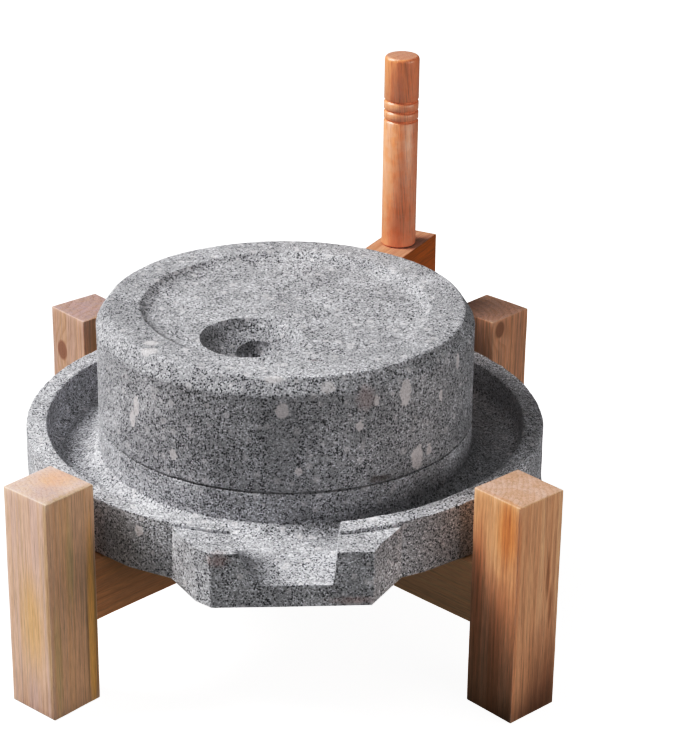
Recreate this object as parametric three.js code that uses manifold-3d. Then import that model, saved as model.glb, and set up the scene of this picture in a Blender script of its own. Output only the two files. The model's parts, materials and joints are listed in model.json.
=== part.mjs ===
// Rotary quern: a granite hand mill that stands on a timber cross frame.
// Millimetres, +Z up, floor at z = 0, spout towards -Y. Everything is built about the mill's turning axis,
// and the whole group is then moved along Y, so that the origin is on the floor below the middle of it.
import * as THREE from "three";
import { mergeVertices } from "three/addons/utils/BufferGeometryUtils.js";
import Module from "manifold-3d";

const wasm = await Module();
wasm.setup();

// Driving dimensions
const fitGap = 0.3; // left between two pieces that touch
const arris = 0.8; // small chamfer that takes the sharpness off a stone edge
const overcut = 5; // how far a cutter passes the face it cuts

const tray = {
  radius: 180,
  bottom: 99.1,
  rimTop: 139.8,
  rimRound: 2.4, // rounding of the rim's outer edge
  rimInnerRadius: 165.3,
  rimFillet: 8, // between the rim's inner wall and the channel's floor
  floor: 115.3,
};
const bed = { radius: 130, top: 142.4, footRadius: 20, footTurn: 45 }; // the wall meets the hollow foot in a crease
const boss = { radius: 12, height: 10, chamfer: 1.2 };
const spout = {
  turn: 2.5, // degrees from the middle line of the stand
  reach: 201,
  top: 136.8,
  // Plan of the two sides as [across, out from the axis], from the front corner back into the tray.
  left: [
    [-53.5, 201],
    [-63, 192],
    [-75, 171],
    [-80, 155],
  ],
  right: [
    [49, 201],
    [55, 188.5],
    [64, 174.5],
    [76, 155],
  ],
};
const notch = {
  floorLeft: -18.3,
  floorRight: 22.7,
  topLeft: -35.5,
  topRight: 25.1,
  fillet: 6,
  floorFront: 114.5,
  floorBack: 115.4,
  backEnd: 152, // distance from the axis where the notch meets the channel's floor
  taper: 0.2 / 41, // growth of the widths for each millimetre towards the axis
};
const runner = {
  radius: 130,
  seam: 0.4, // running gap above the bedstone
  top: 222.7,
  shoulderWidth: 7.3,
  shoulderDrop: 10.7,
  dishRadius: 98.4,
  dishDepth: 4.8,
  dishWall: 6.5, // width of the sloping wall round the dish
};
const socketClearance = 0.4; // round and above the boss
const feed = {
  offset: 51.6,
  angle: 243.3,
  mouthRadius: 33.6,
  bowlDepth: 16.5,
  throatRadius: 12.5,
  throatShift: { x: 2.7, y: 7.5 }, // from the middle of the bowl
};
const furrow = { count: 12, inner: 22, outer: 114, width: 5, depth: 1.4, lean: 14 };
const handle = {
  angle: 61.9,
  top: 210,
  height: 38,
  width: 34,
  innerEnd: 92.6,
  outerEnd: 205.5,
  arris: 0.8,
};
const peg = {
  distance: 174,
  radius: 12.7,
  top: 354.2,
  crownWidth: 2.2, // rounding of the top, across and down
  crownDrop: 3.2,
  grooves: [321.2, 313.7, 306.7],
  grooveDepth: 1.1,
  grooveHalf: 1.3,
  tenonRadius: 8,
  tenonLength: 28,
};
const leg = { side: 41.2, height: 158.3, arris: 0.8 };
// Each leg stands at an end of a diagonal. The stand is hand made, so the distances from the axis differ a
// little, and each leg is a little turned about its own middle.
const legPlaces = {
  back_right: { angle: 45, distance: 215, turn: 1 },
  back_left: { angle: 135, distance: 210.5, turn: -4 },
  front_left: { angle: 225, distance: 211.7, turn: 3 },
  front_right: { angle: 315, distance: 213.2, turn: -3 },
};
const board = { thickness: 25.2, bottom: 54, arris: 0.8, shoulderGap: 1.4 };
const tenon = { thickness: 12, bottom: 61, top: 92, length: 24 };

// Worked-out dimensions
const boardTop = tray.bottom - fitGap;
const boardHeight = boardTop - board.bottom;
const runnerBottom = bed.top + runner.seam;
const dishFloor = runner.top - runner.dishDepth;

const radians = THREE.MathUtils.degToRad;

// A closed geometry as a solid: only the positions are kept, and shared vertices are merged.
function toSolid(geometry) {
  const bare = geometry.clone();
  bare.deleteAttribute("normal");
  bare.deleteAttribute("uv");
  const merged = mergeVertices(bare);
  return new wasm.Manifold(
    new wasm.Mesh({
      numProp: 3,
      vertProperties: merged.attributes.position.array,
      triVerts: new Uint32Array(merged.index.array),
    }),
  );
}

function toGeometry(solid) {
  const { vertProperties, triVerts } = solid.getMesh();
  const geometry = new THREE.BufferGeometry();
  geometry.setAttribute("position", new THREE.BufferAttribute(vertProperties, 3));
  geometry.setIndex(new THREE.BufferAttribute(triVerts, 1));
  const faceted = geometry.toNonIndexed();
  faceted.computeVertexNormals();
  return faceted;
}

const cut = (body, ...cutters) => cutters.reduce((left, cutter) => left.subtract(cutter), body);

// Points of a circular arc from one angle to another, in degrees, both ends included.
function arc(centreX, centreY, radius, from, to, steps) {
  const points = [];
  for (let i = 0; i <= steps; i++) {
    const angle = radians(from + ((to - from) * i) / steps);
    const x = centreX + radius * Math.cos(angle);
    const y = centreY + radius * Math.sin(angle);
    points.push(new THREE.Vector2(x, y));
  }
  return points;
}

const point = (x, y) => new THREE.Vector2(x, y);

// A turned body about Z, from its profile as (distance from the axis, height), bottom to top.
const turned = (profile, segments) => new THREE.LatheGeometry(profile, segments).rotateX(Math.PI / 2);

// A plan outline drawn in X and Y and raised from one height to another.
function raised(outline, bottom, top) {
  const geometry = new THREE.ExtrudeGeometry(new THREE.Shape(outline), {
    depth: top - bottom,
    bevelEnabled: false,
  });
  return geometry.translate(0, 0, bottom);
}

// A squared timber with every edge softened, centred in X and Y and standing on z = 0.
function timber(width, depth, height, softening) {
  const x = width / 2 - softening;
  const y = depth / 2 - softening;
  const corner = softening / 2;
  const outline = [
    point(-x, -y + corner),
    point(-x + corner, -y),
    point(x - corner, -y),
    point(x, -y + corner),
    point(x, y - corner),
    point(x - corner, y),
    point(-x + corner, y),
    point(-x, y - corner),
  ];
  const geometry = new THREE.ExtrudeGeometry(new THREE.Shape(outline), {
    depth: height - 2 * softening,
    bevelThickness: softening,
    bevelSize: softening,
    bevelSegments: 1,
  });
  return geometry.translate(0, 0, softening);
}

// A plain block between two heights, centred on (x, y).
const block = (width, depth, bottom, top, x = 0, y = 0) =>
  new THREE.BoxGeometry(width, depth, top - bottom).translate(x, y, (bottom + top) / 2);

// Straight furrows cut into a grinding face, each leaning off the radius. They stop short of the edge,
// so that a plain band of stone closes the seam.
function furrows(faceHeight, lean) {
  const length = furrow.outer - furrow.inner;
  return Array.from({ length: furrow.count }, (_, i) => {
    const groove = block(length, furrow.width, -furrow.depth, furrow.depth, furrow.inner + length / 2);
    groove.rotateZ(radians(lean)).translate(0, -furrow.inner * Math.sin(radians(lean)), faceHeight);
    return toSolid(groove.rotateZ((2 * Math.PI * i) / furrow.count));
  });
}

// Tray, bedstone and spout: one carved stone. The bedstone stands in the middle of the tray, a channel
// runs round it, and the channel leaves through the notch in the spout.
function trayStone() {
  const rimRoundCentre = point(tray.radius - tray.rimRound, tray.rimTop - tray.rimRound);
  const rimFilletCentre = point(tray.rimInnerRadius - tray.rimFillet, tray.floor + tray.rimFillet);
  const footCentre = point(bed.radius + bed.footRadius * Math.sin(radians(bed.footTurn)), tray.floor + bed.footRadius);
  const body = toSolid(
    turned(
      [
        point(0, tray.bottom),
        point(tray.radius - arris, tray.bottom),
        point(tray.radius, tray.bottom + arris),
        ...arc(rimRoundCentre.x, rimRoundCentre.y, tray.rimRound, 0, 90, 3),
        point(tray.rimInnerRadius + arris, tray.rimTop),
        point(tray.rimInnerRadius, tray.rimTop - arris),
        ...arc(rimFilletCentre.x, rimFilletCentre.y, tray.rimFillet, 0, -90, 4),
        ...arc(footCentre.x, footCentre.y, bed.footRadius, -90, -90 - bed.footTurn, 4),
        point(bed.radius, bed.top - arris),
        point(bed.radius - arris, bed.top),
        point(boss.radius, bed.top),
        point(boss.radius, bed.top + boss.height - boss.chamfer),
        point(boss.radius - boss.chamfer, bed.top + boss.height),
        point(0, bed.top + boss.height),
      ],
      72,
    ),
  );
  const sideOutline = [...spout.left].reverse().concat(spout.right);
  const lip = toSolid(
    raised(
      sideOutline.map(([across, out]) => point(across, -out)),
      tray.bottom,
      spout.top,
    ),
  );
  // The lip reaches back inside the rim, so only what is outside the channel is added to the tray.
  const channel = toSolid(raised(arc(0, 0, tray.radius - 4, 0, 355, 71), tray.bottom - overcut, tray.rimTop));
  const stone = body.add(lip.subtract(channel));
  return toGeometry(cut(stone, notchCutter(), ...furrows(bed.top, furrow.lean)));
}

// The notch's section runs straight out through the rim and the spout and narrows towards the front. Its
// left wall leans back and runs into the floor in a hollow, and its right wall is steep.
function notchCutter() {
  const front = spout.reach + overcut;
  const depth = tray.rimTop + overcut - notch.floorFront;
  const wallHeight = spout.top - notch.floorFront;
  const leftTop = notch.floorLeft + ((notch.topLeft - notch.floorLeft) * depth) / wallHeight;
  const rightTop = notch.floorRight + ((notch.topRight - notch.floorRight) * depth) / wallHeight;
  const wall = new THREE.Vector2(leftTop - notch.floorLeft, depth).setLength(notch.fillet);
  const section = new THREE.Shape();
  section.moveTo(rightTop, depth);
  section.lineTo(leftTop, depth);
  section.lineTo(notch.floorLeft + wall.x, wall.y);
  section.quadraticCurveTo(notch.floorLeft, 0, notch.floorLeft + notch.fillet, 0);
  section.lineTo(notch.floorRight, 0);
  const geometry = new THREE.ExtrudeGeometry(section, {
    depth: front - notch.backEnd,
    bevelEnabled: false,
    curveSegments: 4,
  });
  // Extruded along its own Z, then laid down so that the section stands up and looks out along -Y.
  geometry.rotateX(Math.PI / 2).translate(0, -notch.backEnd, notch.floorFront);
  const places = geometry.attributes.position;
  for (let i = 0; i < places.count; i++) {
    const inward = spout.reach + places.getY(i);
    const rise = (notch.floorBack - notch.floorFront) * (inward / (spout.reach - notch.backEnd));
    places.setX(i, places.getX(i) * (1 + notch.taper * inward));
    places.setZ(i, places.getZ(i) + rise);
  }
  return toSolid(geometry);
}

// Runner: the upper stone, with a wide shallow dish in its top, an off-centre feed bowl whose throat goes
// right through, a socket below that fits over the boss, and a mortise in its side for the handle.
function runnerStone() {
  const socketRadius = boss.radius + socketClearance;
  const socketTop = bed.top + boss.height + socketClearance;
  const shoulderBottom = runner.top - runner.shoulderDrop;
  const shoulderInner = runner.radius - runner.shoulderWidth;
  const body = toSolid(
    turned(
      [
        point(0, socketTop),
        point(socketRadius, socketTop),
        point(socketRadius, runnerBottom),
        point(runner.radius - arris, runnerBottom),
        point(runner.radius, runnerBottom + arris),
        point(runner.radius, shoulderBottom - 1.5),
        point(runner.radius - 0.5, shoulderBottom + 1),
        point(shoulderInner + 1, runner.top - 1),
        point(shoulderInner - 1.5, runner.top),
        point(runner.dishRadius, runner.top),
        point(runner.dishRadius - 0.7 * runner.dishWall, dishFloor + 1.8),
        point(runner.dishRadius - 1.3 * runner.dishWall, dishFloor + 0.2),
        point(runner.dishRadius - 2 * runner.dishWall, dishFloor),
        point(0, dishFloor),
      ],
      72,
    ),
  );
  const mortise = block(
    runner.radius + overcut - handle.innerEnd + fitGap,
    handle.width + 2 * fitGap,
    handle.top - handle.height - fitGap,
    handle.top + fitGap,
    (runner.radius + overcut + handle.innerEnd - fitGap) / 2,
  ).rotateZ(radians(handle.angle));
  return toGeometry(cut(body, feedCutter(), toSolid(mortise), ...furrows(runnerBottom, -furrow.lean)));
}

// The feed bowl is a half-ellipsoid below the dish's floor. The throat opens a little behind its middle.
function feedCutter() {
  const profile = arc(0, 0, 1, -90, 0, 10).map(({ x, y }) =>
    point(feed.mouthRadius * x, dishFloor + feed.bowlDepth * y),
  );
  profile.push(point(feed.mouthRadius, runner.top + overcut), point(0, runner.top + overcut));
  const throatHeight = dishFloor - bed.top + overcut;
  const throat = new THREE.CylinderGeometry(feed.throatRadius, feed.throatRadius, throatHeight, 36);
  throat.rotateX(Math.PI / 2);
  throat.translate(feed.throatShift.x, feed.throatShift.y, dishFloor - throatHeight / 2);
  const direction = radians(feed.angle);
  const cutter = toSolid(turned(profile, 40)).add(toSolid(throat));
  return cutter.translate([feed.offset * Math.cos(direction), feed.offset * Math.sin(direction), 0]);
}

// Handle block: a squared bar tenoned into the runner's side, with a blind hole for the peg.
// It is made lying along X, from its inner end.
function handleBlock() {
  const length = handle.outerEnd - handle.innerEnd;
  const bar = timber(handle.height, handle.width, length, handle.arris);
  bar.rotateY(Math.PI / 2).translate(0, 0, handle.top - handle.height / 2);
  const holeRadius = peg.tenonRadius + fitGap;
  const holeBottom = handle.top - peg.tenonLength - fitGap;
  const hole = new THREE.CylinderGeometry(holeRadius, holeRadius, peg.tenonLength + overcut, 24);
  hole.rotateX(Math.PI / 2);
  hole.translate(peg.distance - handle.innerEnd, 0, holeBottom + (peg.tenonLength + overcut) / 2);
  return toGeometry(cut(toSolid(bar), toSolid(hole)));
}

// Peg: a turned grip with three fine grooves, a rounded top and a round tenon below its shoulder.
function handlePeg() {
  const shoulder = handle.top + fitGap;
  const profile = [
    point(0, handle.top - peg.tenonLength),
    point(peg.tenonRadius, handle.top - peg.tenonLength),
    point(peg.tenonRadius, shoulder),
    point(peg.radius - arris, shoulder),
    point(peg.radius, shoulder + arris),
  ];
  for (const height of [...peg.grooves].reverse()) {
    profile.push(point(peg.radius, height - peg.grooveHalf));
    profile.push(point(peg.radius - peg.grooveDepth, height));
    profile.push(point(peg.radius, height + peg.grooveHalf));
  }
  for (const { x, y } of arc(0, 0, 1, 0, 90, 3)) {
    profile.push(point(peg.radius - peg.crownWidth * (1 - x), peg.top - peg.crownDrop * (1 - y)));
  }
  profile.push(point(0, peg.top));
  return turned(profile, 28);
}

// Leg: a square post standing on z = 0, turned about its own middle. Its mortise runs along X from the
// side that looks along -X, in line with the board.
function legPost(turn) {
  const post = timber(leg.side, leg.side, leg.height, leg.arris).rotateZ(radians(turn));
  const mortise = block(
    tenon.length + fitGap + overcut,
    tenon.thickness + 2 * fitGap,
    tenon.bottom - fitGap,
    tenon.top + fitGap,
    -leg.side / 2 + (tenon.length + fitGap - overcut) / 2,
  );
  return toGeometry(cut(toSolid(post), toSolid(mortise)));
}

// Cross board along X between two legs, on edge, tenoned at both ends and halved where the boards cross.
function crossBoard(legAhead, legBehind, halvedFromTop) {
  const front = legAhead.distance - leg.side / 2;
  const back = legBehind.distance - leg.side / 2;
  const length = front + back - 2 * board.shoulderGap;
  const bar = timber(boardHeight, board.thickness, length, board.arris);
  bar.rotateY(Math.PI / 2).translate(board.shoulderGap - back, 0, board.bottom + boardHeight / 2);
  const tenonSpan = front + back + 2 * tenon.length;
  const tenons = block(tenonSpan, tenon.thickness, tenon.bottom, tenon.top, (front - back) / 2);
  const middle = board.bottom + boardHeight / 2;
  const slot = halvedFromTop
    ? block(board.thickness + 2 * fitGap, board.thickness + overcut, middle, boardTop + overcut)
    : block(board.thickness + 2 * fitGap, board.thickness + overcut, board.bottom - overcut, middle + fitGap);
  return toGeometry(toSolid(bar).add(toSolid(tenons)).subtract(toSolid(slot)));
}

const granite = new THREE.MeshStandardMaterial({ color: 0x8c8b90, roughness: 0.82, metalness: 0 });
const graniteRunner = new THREE.MeshStandardMaterial({ color: 0x838287, roughness: 0.8, metalness: 0 });
const paleTimber = new THREE.MeshStandardMaterial({ color: 0xb98a5e, roughness: 0.62, metalness: 0 });
const boardTimber = new THREE.MeshStandardMaterial({ color: 0xa06a3c, roughness: 0.66, metalness: 0 });
const handleTimber = new THREE.MeshStandardMaterial({ color: 0x9a5526, roughness: 0.55, metalness: 0 });
const pegTimber = new THREE.MeshStandardMaterial({ color: 0xb06c4a, roughness: 0.5, metalness: 0 });

function named(name, geometry, material) {
  const mesh = new THREE.Mesh(geometry, material);
  mesh.name = name;
  return mesh;
}

const quern = new THREE.Group();

// Stand: a leg at each end of the two diagonals, and a board along each diagonal.
const stand = new THREE.Group();
for (const [place, { angle, distance, turn }] of Object.entries(legPlaces)) {
  const diagonal = new THREE.Group();
  diagonal.rotation.z = radians(angle);
  const post = named(`leg_${place}`, legPost(turn), paleTimber);
  post.position.x = distance;
  diagonal.add(post);
  stand.add(diagonal);
}
for (const [name, ahead, behind, halvedFromTop] of [
  ["cross_board_a", legPlaces.back_right, legPlaces.front_left, true],
  ["cross_board_b", legPlaces.back_left, legPlaces.front_right, false],
]) {
  const cross = named(name, crossBoard(ahead, behind, halvedFromTop), boardTimber);
  cross.rotation.z = radians(ahead.angle);
  stand.add(cross);
}
quern.add(stand);

const lowerStone = named("tray_stone", trayStone(), granite);
lowerStone.rotation.z = radians(spout.turn);
quern.add(lowerStone);

// What turns: the runner with the handle in its side.
const turning = new THREE.Group();
turning.add(named("runner_stone", runnerStone(), graniteRunner));
const arm = new THREE.Group();
arm.rotation.z = radians(handle.angle);
const bar = named("handle_block", handleBlock(), handleTimber);
bar.position.x = handle.innerEnd;
const grip = named("handle_peg", handlePeg(), pegTimber);
grip.position.x = peg.distance;
arm.add(bar, grip);
turning.add(arm);
quern.add(turning);

// The spout's corner reaches furthest forwards and the handle block's corner furthest back.
const spoutTurn = radians(spout.turn);
const frontReach = spout.reach * Math.cos(spoutTurn) - spout.left[0][0] * Math.sin(spoutTurn);
const armTurn = radians(handle.angle);
const backReach = handle.outerEnd * Math.sin(armTurn) + (handle.width / 2) * Math.cos(armTurn);
quern.position.y = (frontReach - backReach) / 2;

export default quern;
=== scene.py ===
import json
import math

import bpy
from mathutils import Euler, Matrix, Vector


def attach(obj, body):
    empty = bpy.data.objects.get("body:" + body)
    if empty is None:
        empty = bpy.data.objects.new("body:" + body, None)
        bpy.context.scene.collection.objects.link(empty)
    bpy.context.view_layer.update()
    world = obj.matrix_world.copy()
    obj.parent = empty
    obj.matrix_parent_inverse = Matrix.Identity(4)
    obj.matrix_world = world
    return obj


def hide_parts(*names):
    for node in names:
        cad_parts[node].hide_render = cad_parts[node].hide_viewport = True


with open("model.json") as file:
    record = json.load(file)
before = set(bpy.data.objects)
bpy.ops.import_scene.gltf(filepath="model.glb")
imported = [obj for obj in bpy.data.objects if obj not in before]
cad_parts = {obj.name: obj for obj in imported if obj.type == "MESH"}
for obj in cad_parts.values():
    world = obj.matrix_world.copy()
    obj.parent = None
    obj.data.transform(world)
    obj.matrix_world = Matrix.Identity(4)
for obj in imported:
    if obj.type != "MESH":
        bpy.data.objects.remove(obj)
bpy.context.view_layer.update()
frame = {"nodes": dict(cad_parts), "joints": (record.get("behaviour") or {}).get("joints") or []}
millAxis = Vector(frame["joints"][0]["pos_m"])  # the runner turns about the upright line through here
mm = 0.001
print("frame loaded,", len(frame["nodes"]), "nodes")

# Camera

cameraView = {
    "lens": 120.36,
    "place": (0.0158, -1.53696, 0.85408),
    "azimuth": -0.947,
    "elevation": 23.655,
    "roll": 0.745,
}


def addCamera(view):
    bpy.ops.object.camera_add(location=view["place"])
    camera = bpy.context.object
    camera.name = "studioCamera"
    camera.data.lens = view["lens"]
    camera.data.sensor_width = 36
    look = Euler((math.radians(90 - view["elevation"]), 0, math.radians(view["azimuth"]))).to_matrix()
    camera.rotation_euler = (look @ Matrix.Rotation(math.radians(view["roll"]), 3, "Z")).to_euler()
    camera.data.clip_start = 0.05
    camera.data.clip_end = 30
    bpy.context.scene.camera = camera


addCamera(cameraView)

# Modelling helpers


def deselectAll():
    if bpy.context.mode != "OBJECT":
        bpy.ops.object.mode_set(mode="OBJECT")
    bpy.ops.object.select_all(action="DESELECT")


def pick(piece):
    deselectAll()
    piece.select_set(True)
    bpy.context.view_layer.objects.active = piece


def editMode(piece, kind="FACE"):
    pick(piece)
    bpy.ops.object.mode_set(mode="EDIT")
    bpy.ops.mesh.select_mode(type=kind)
    bpy.ops.mesh.select_all(action="DESELECT")


def objectMode():
    bpy.ops.object.mode_set(mode="OBJECT")


def turnOutward():
    bpy.ops.mesh.select_all(action="SELECT")
    bpy.ops.mesh.normals_make_consistent(inside=False)
    objectMode()


def applyModifier(piece, kind, **settings):
    pick(piece)
    modifier = piece.modifiers.new(kind.title(), kind)
    for name, value in settings.items():
        setattr(modifier, name, value)
    bpy.ops.object.modifier_apply(modifier=modifier.name)


def combine(piece, other, operation):
    applyModifier(piece, "BOOLEAN", operation=operation, object=other, solver="EXACT")
    bpy.data.objects.remove(other)


def joinPieces(pieces):
    pick(pieces[0])
    for piece in pieces[1:]:
        piece.select_set(True)
    bpy.ops.object.join()
    return pieces[0]


# Moves or turns the finished shape, then puts its place into the mesh.
def settle(piece, move=(0, 0, 0), turn=0.0):
    pick(piece)
    piece.rotation_euler.z += turn
    piece.location = Matrix.Rotation(turn, 3, "Z") @ piece.location + Vector(move)
    bpy.ops.object.transform_apply(location=True, rotation=True, scale=True)


# Draws a line of points in edit mode, each extruded from the one before.
def drawLine(name, points):
    deselectAll()
    bpy.ops.mesh.primitive_plane_add(size=mm)
    piece = bpy.context.object
    piece.name = name
    bpy.ops.object.mode_set(mode="EDIT")
    bpy.ops.mesh.select_mode(type="VERT")
    bpy.ops.mesh.select_all(action="SELECT")
    bpy.ops.mesh.merge(type="CENTER")
    bpy.ops.transform.translate(value=points[0])
    for start, end in zip(points, points[1:]):
        bpy.ops.mesh.extrude_vertices_move(TRANSFORM_OT_translate={"value": Vector(end) - Vector(start)})
    return piece


# A solid turned about the upright axis from its outline as (radius, height) in millimetres.
def turnOutline(name, outline, steps):
    piece = drawLine(name, [(r * mm, 0, z * mm) for r, z in outline])
    bpy.ops.mesh.select_all(action="SELECT")
    bpy.ops.mesh.spin(steps=steps, angle=2 * math.pi, center=(0, 0, 0), axis=(0, 0, 1))
    bpy.ops.mesh.select_all(action="SELECT")
    bpy.ops.mesh.remove_doubles(threshold=0.01 * mm)
    turnOutward()
    return piece


# A solid raised from a closed plan of (x, y) in millimetres.
def raisePlan(name, plan, bottom, top):
    piece = drawLine(name, [(x * mm, y * mm, bottom * mm) for x, y in plan])
    bpy.ops.mesh.select_all(action="SELECT")
    bpy.ops.mesh.edge_face_add()
    bpy.ops.mesh.extrude_region_move(TRANSFORM_OT_translate={"value": (0, 0, (top - bottom) * mm)})
    turnOutward()
    return piece


def arcPoints(centreX, centreY, radius, start, end, steps):
    angles = [math.radians(start + (end - start) * i / steps) for i in range(steps + 1)]
    return [(centreX + radius * math.cos(a), centreY + radius * math.sin(a)) for a in angles]


def addBlock(name, low, high):
    deselectAll()
    middle = [(a + b) / 2 * mm for a, b in zip(low, high)]
    bpy.ops.mesh.primitive_cube_add(size=1, location=middle)
    block = bpy.context.object
    block.name = name
    block.scale = [(b - a) * mm for a, b in zip(low, high)]
    bpy.ops.object.transform_apply(location=True, rotation=True, scale=True)
    return block


def selectFaces(piece, test):
    for face in piece.data.polygons:
        face.select = test(face.center, face.normal)


# Raises and lowers the surface by a cloud pattern. Inward is the share of the movement that goes in.
def roughen(piece, size, amount, inward, depth, group=""):
    texture = bpy.data.textures.new(piece.name + "Relief", "CLOUDS")
    texture.noise_scale = size * mm
    texture.noise_depth = depth
    applyModifier(
        piece,
        "DISPLACE",
        texture=texture,
        texture_coords="LOCAL",
        direction="NORMAL",
        mid_level=inward,
        strength=amount * mm,
        vertex_group=group,
    )


def markGroup(piece, name, test):
    group = piece.vertex_groups.new(name=name)
    group.add([v.index for v in piece.data.vertices if test(v.co)], 1.0, "REPLACE")


# Shader helpers


def newGroup(name, inputs, outputs):
    group = bpy.data.node_groups.new(name, "ShaderNodeTree")
    for label, kind, value in inputs:
        socket = group.interface.new_socket(name=label, in_out="INPUT", socket_type=kind)
        if value is not None:
            socket.default_value = value
    for label, kind in outputs:
        group.interface.new_socket(name=label, in_out="OUTPUT", socket_type=kind)
    return group, group.nodes.new("NodeGroupInput"), group.nodes.new("NodeGroupOutput")


# A node with its values set, and its sockets linked where a value is another node's output.
def addNode(tree, kind, values=None, **options):
    node = tree.nodes.new(kind)
    for name, value in options.items():
        setattr(node, name, value)
    for key, value in (values or {}).items():
        if isinstance(value, bpy.types.NodeSocket):
            tree.links.new(value, node.inputs[key])
        else:
            node.inputs[key].default_value = value
    return node


def addMath(tree, operation, a, b=0.0, c=0.0):
    return addNode(tree, "ShaderNodeMath", {0: a, 1: b, 2: c}, operation=operation).outputs[0]


def addVectorMath(tree, operation, a, b=(0, 0, 0)):
    node = addNode(tree, "ShaderNodeVectorMath", {0: a, 1: b}, operation=operation)
    return node.outputs["Value"] if operation == "LENGTH" else node.outputs["Vector"]


def addScaled(tree, vector, factor):
    node = addNode(tree, "ShaderNodeVectorMath", {0: vector, "Scale": factor}, operation="SCALE")
    return node.outputs["Vector"]


def addNoise(tree, vector, scale, detail=2.0, roughness=0.5, output="Fac"):
    values = {"Vector": vector, "Scale": scale, "Detail": detail, "Roughness": roughness}
    return addNode(tree, "ShaderNodeTexNoise", values).outputs[output]


# Cells of stone: the distance from each one's middle, and three random values of its own.
def addCells(tree, vector, scale):
    cells = addNode(tree, "ShaderNodeTexVoronoi", {"Vector": vector, "Scale": scale})
    luck = addNode(tree, "ShaderNodeSeparateColor", {"Color": cells.outputs["Color"]})
    return cells.outputs["Distance"], luck.outputs


# Maps a value between two limits to 0 to 1, smoothly.
def addStep(tree, value, low, high, outLow=0.0, outHigh=1.0):
    values = {"Value": value, "From Min": low, "From Max": high, "To Min": outLow, "To Max": outHigh}
    return addNode(tree, "ShaderNodeMapRange", values, interpolation_type="SMOOTHSTEP").outputs["Result"]


def addMix(tree, factor, a, b, blend="MIX"):
    node = tree.nodes.new("ShaderNodeMix")
    node.data_type = "RGBA"
    node.blend_type = blend
    for socket, value in zip((node.inputs[0], node.inputs[6], node.inputs[7]), (factor, a, b)):
        if isinstance(value, bpy.types.NodeSocket):
            tree.links.new(value, socket)
        else:
            socket.default_value = value
    return node.outputs[2]


def addRamp(tree, value, stops):
    node = addNode(tree, "ShaderNodeValToRGB", {"Fac": value})
    ramp = node.color_ramp
    while len(ramp.elements) < len(stops):
        ramp.elements.new(0.5)
    for element, (position, color) in zip(ramp.elements, stops):
        element.position = position
        element.color = (*color, 1)
    return node.outputs["Color"]


# How far the surface looks up, from 0 at the low slope to 1 at the high one.
def addUpward(tree, low, high):
    normal = addNode(tree, "ShaderNodeNewGeometry").outputs["Normal"]
    parts = addNode(tree, "ShaderNodeSeparateXYZ", {0: normal})
    return addStep(tree, parts.outputs["Z"], low, high)


# Granite

graniteLook = {
    "grains": [(0.0, 0.24), (0.12, 0.36), (0.4, 0.45), (0.72, 0.55), (0.93, 0.76)],
    "grainShade": (0.965, 0.965, 1.0),
    "dark": (0.022, 0.022, 0.026),
    "pale": (0.72, 0.7, 0.71),
}


# Mixed mineral grains: dark mica specks and pale crystals in a grey mass. Vector is in millimetres.
def makeGraniteGroup(look):
    group, given, made = newGroup(
        "graniteGrain",
        [
            ("Vector", "NodeSocketVector", None),
            ("Grain Size", "NodeSocketFloat", 1.0),
            ("Dark Share", "NodeSocketFloat", 0.5),
            ("Pale Share", "NodeSocketFloat", 0.3),
        ],
        [("Color", "NodeSocketColor"), ("Height", "NodeSocketFloat"), ("Dark", "NodeSocketFloat")],
    )
    place = given.outputs["Vector"]
    wander = addNoise(group, place, 0.9, 3.0, 0.6, "Color")
    shift = addScaled(group, addVectorMath(group, "SUBTRACT", wander, (0.5, 0.5, 0.5)), 0.8)
    bent = addVectorMath(group, "ADD", place, shift)
    fine = addMath(group, "DIVIDE", 1.0, given.outputs["Grain Size"])
    kind = addCells(group, bent, fine)[1][0]
    shade = [(at, tuple(level * c for c in look["grainShade"])) for at, level in look["grains"]]
    color = addRamp(group, kind, shade)
    # Pale crystals of a few millimetres
    away, luck = addCells(group, bent, addMath(group, "MULTIPLY", fine, 0.17))
    present = addMath(group, "GREATER_THAN", given.outputs["Pale Share"], luck[1])
    size = addStep(group, luck[2], 0.0, 1.0, 0.2, 0.52)
    inside = addStep(group, addMath(group, "SUBTRACT", size, away), -0.06, 0.1)
    pale = addMath(group, "MULTIPLY", addMath(group, "MULTIPLY", present, inside), 0.5)
    color = addMix(group, pale, color, (*look["pale"], 1))
    # Dark specks, gathered in loose clusters
    speckPlace = addVectorMath(group, "ADD", bent, (31.7, 11.3, 57.1))
    away, luck = addCells(group, speckPlace, addMath(group, "MULTIPLY", fine, 0.82))
    cluster = addStep(group, addNoise(group, place, 0.11, 3.0, 0.65), 0.3, 0.7, 0.55, 1.3)
    limit = addMath(group, "MULTIPLY", cluster, given.outputs["Dark Share"])
    rare = addMath(group, "GREATER_THAN", limit, luck[1])
    reach = addStep(group, luck[2], 0.0, 1.0, 0.3, 0.62)
    near = addStep(group, addMath(group, "SUBTRACT", reach, away), -0.02, 0.03)
    clear = addMath(group, "MULTIPLY_ADD", pale, -1.3, 1.0)
    dark = addMath(group, "MULTIPLY", addMath(group, "MULTIPLY", rare, near), clear)
    color = addMix(group, addMath(group, "MULTIPLY", dark, 0.97), color, (*look["dark"], 1))
    cloud = addStep(group, addNoise(group, place, 0.03, 3.0, 0.6), 0.35, 0.68, 0.88, 1.1)
    tiny = addStep(group, addNoise(group, place, 1.3, 2.0, 0.7), 0.3, 0.7, 0.86, 1.14)
    color = addMix(group, 1.0, color, addMath(group, "MULTIPLY", cloud, tiny), "MULTIPLY")
    height = addMath(group, "MULTIPLY_ADD", dark, -0.7, tiny)
    height = addMath(group, "MULTIPLY_ADD", kind, 0.4, height)
    group.links.new(color, made.inputs["Color"])
    group.links.new(height, made.inputs["Height"])
    group.links.new(dark, made.inputs["Dark"])
    return group


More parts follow.
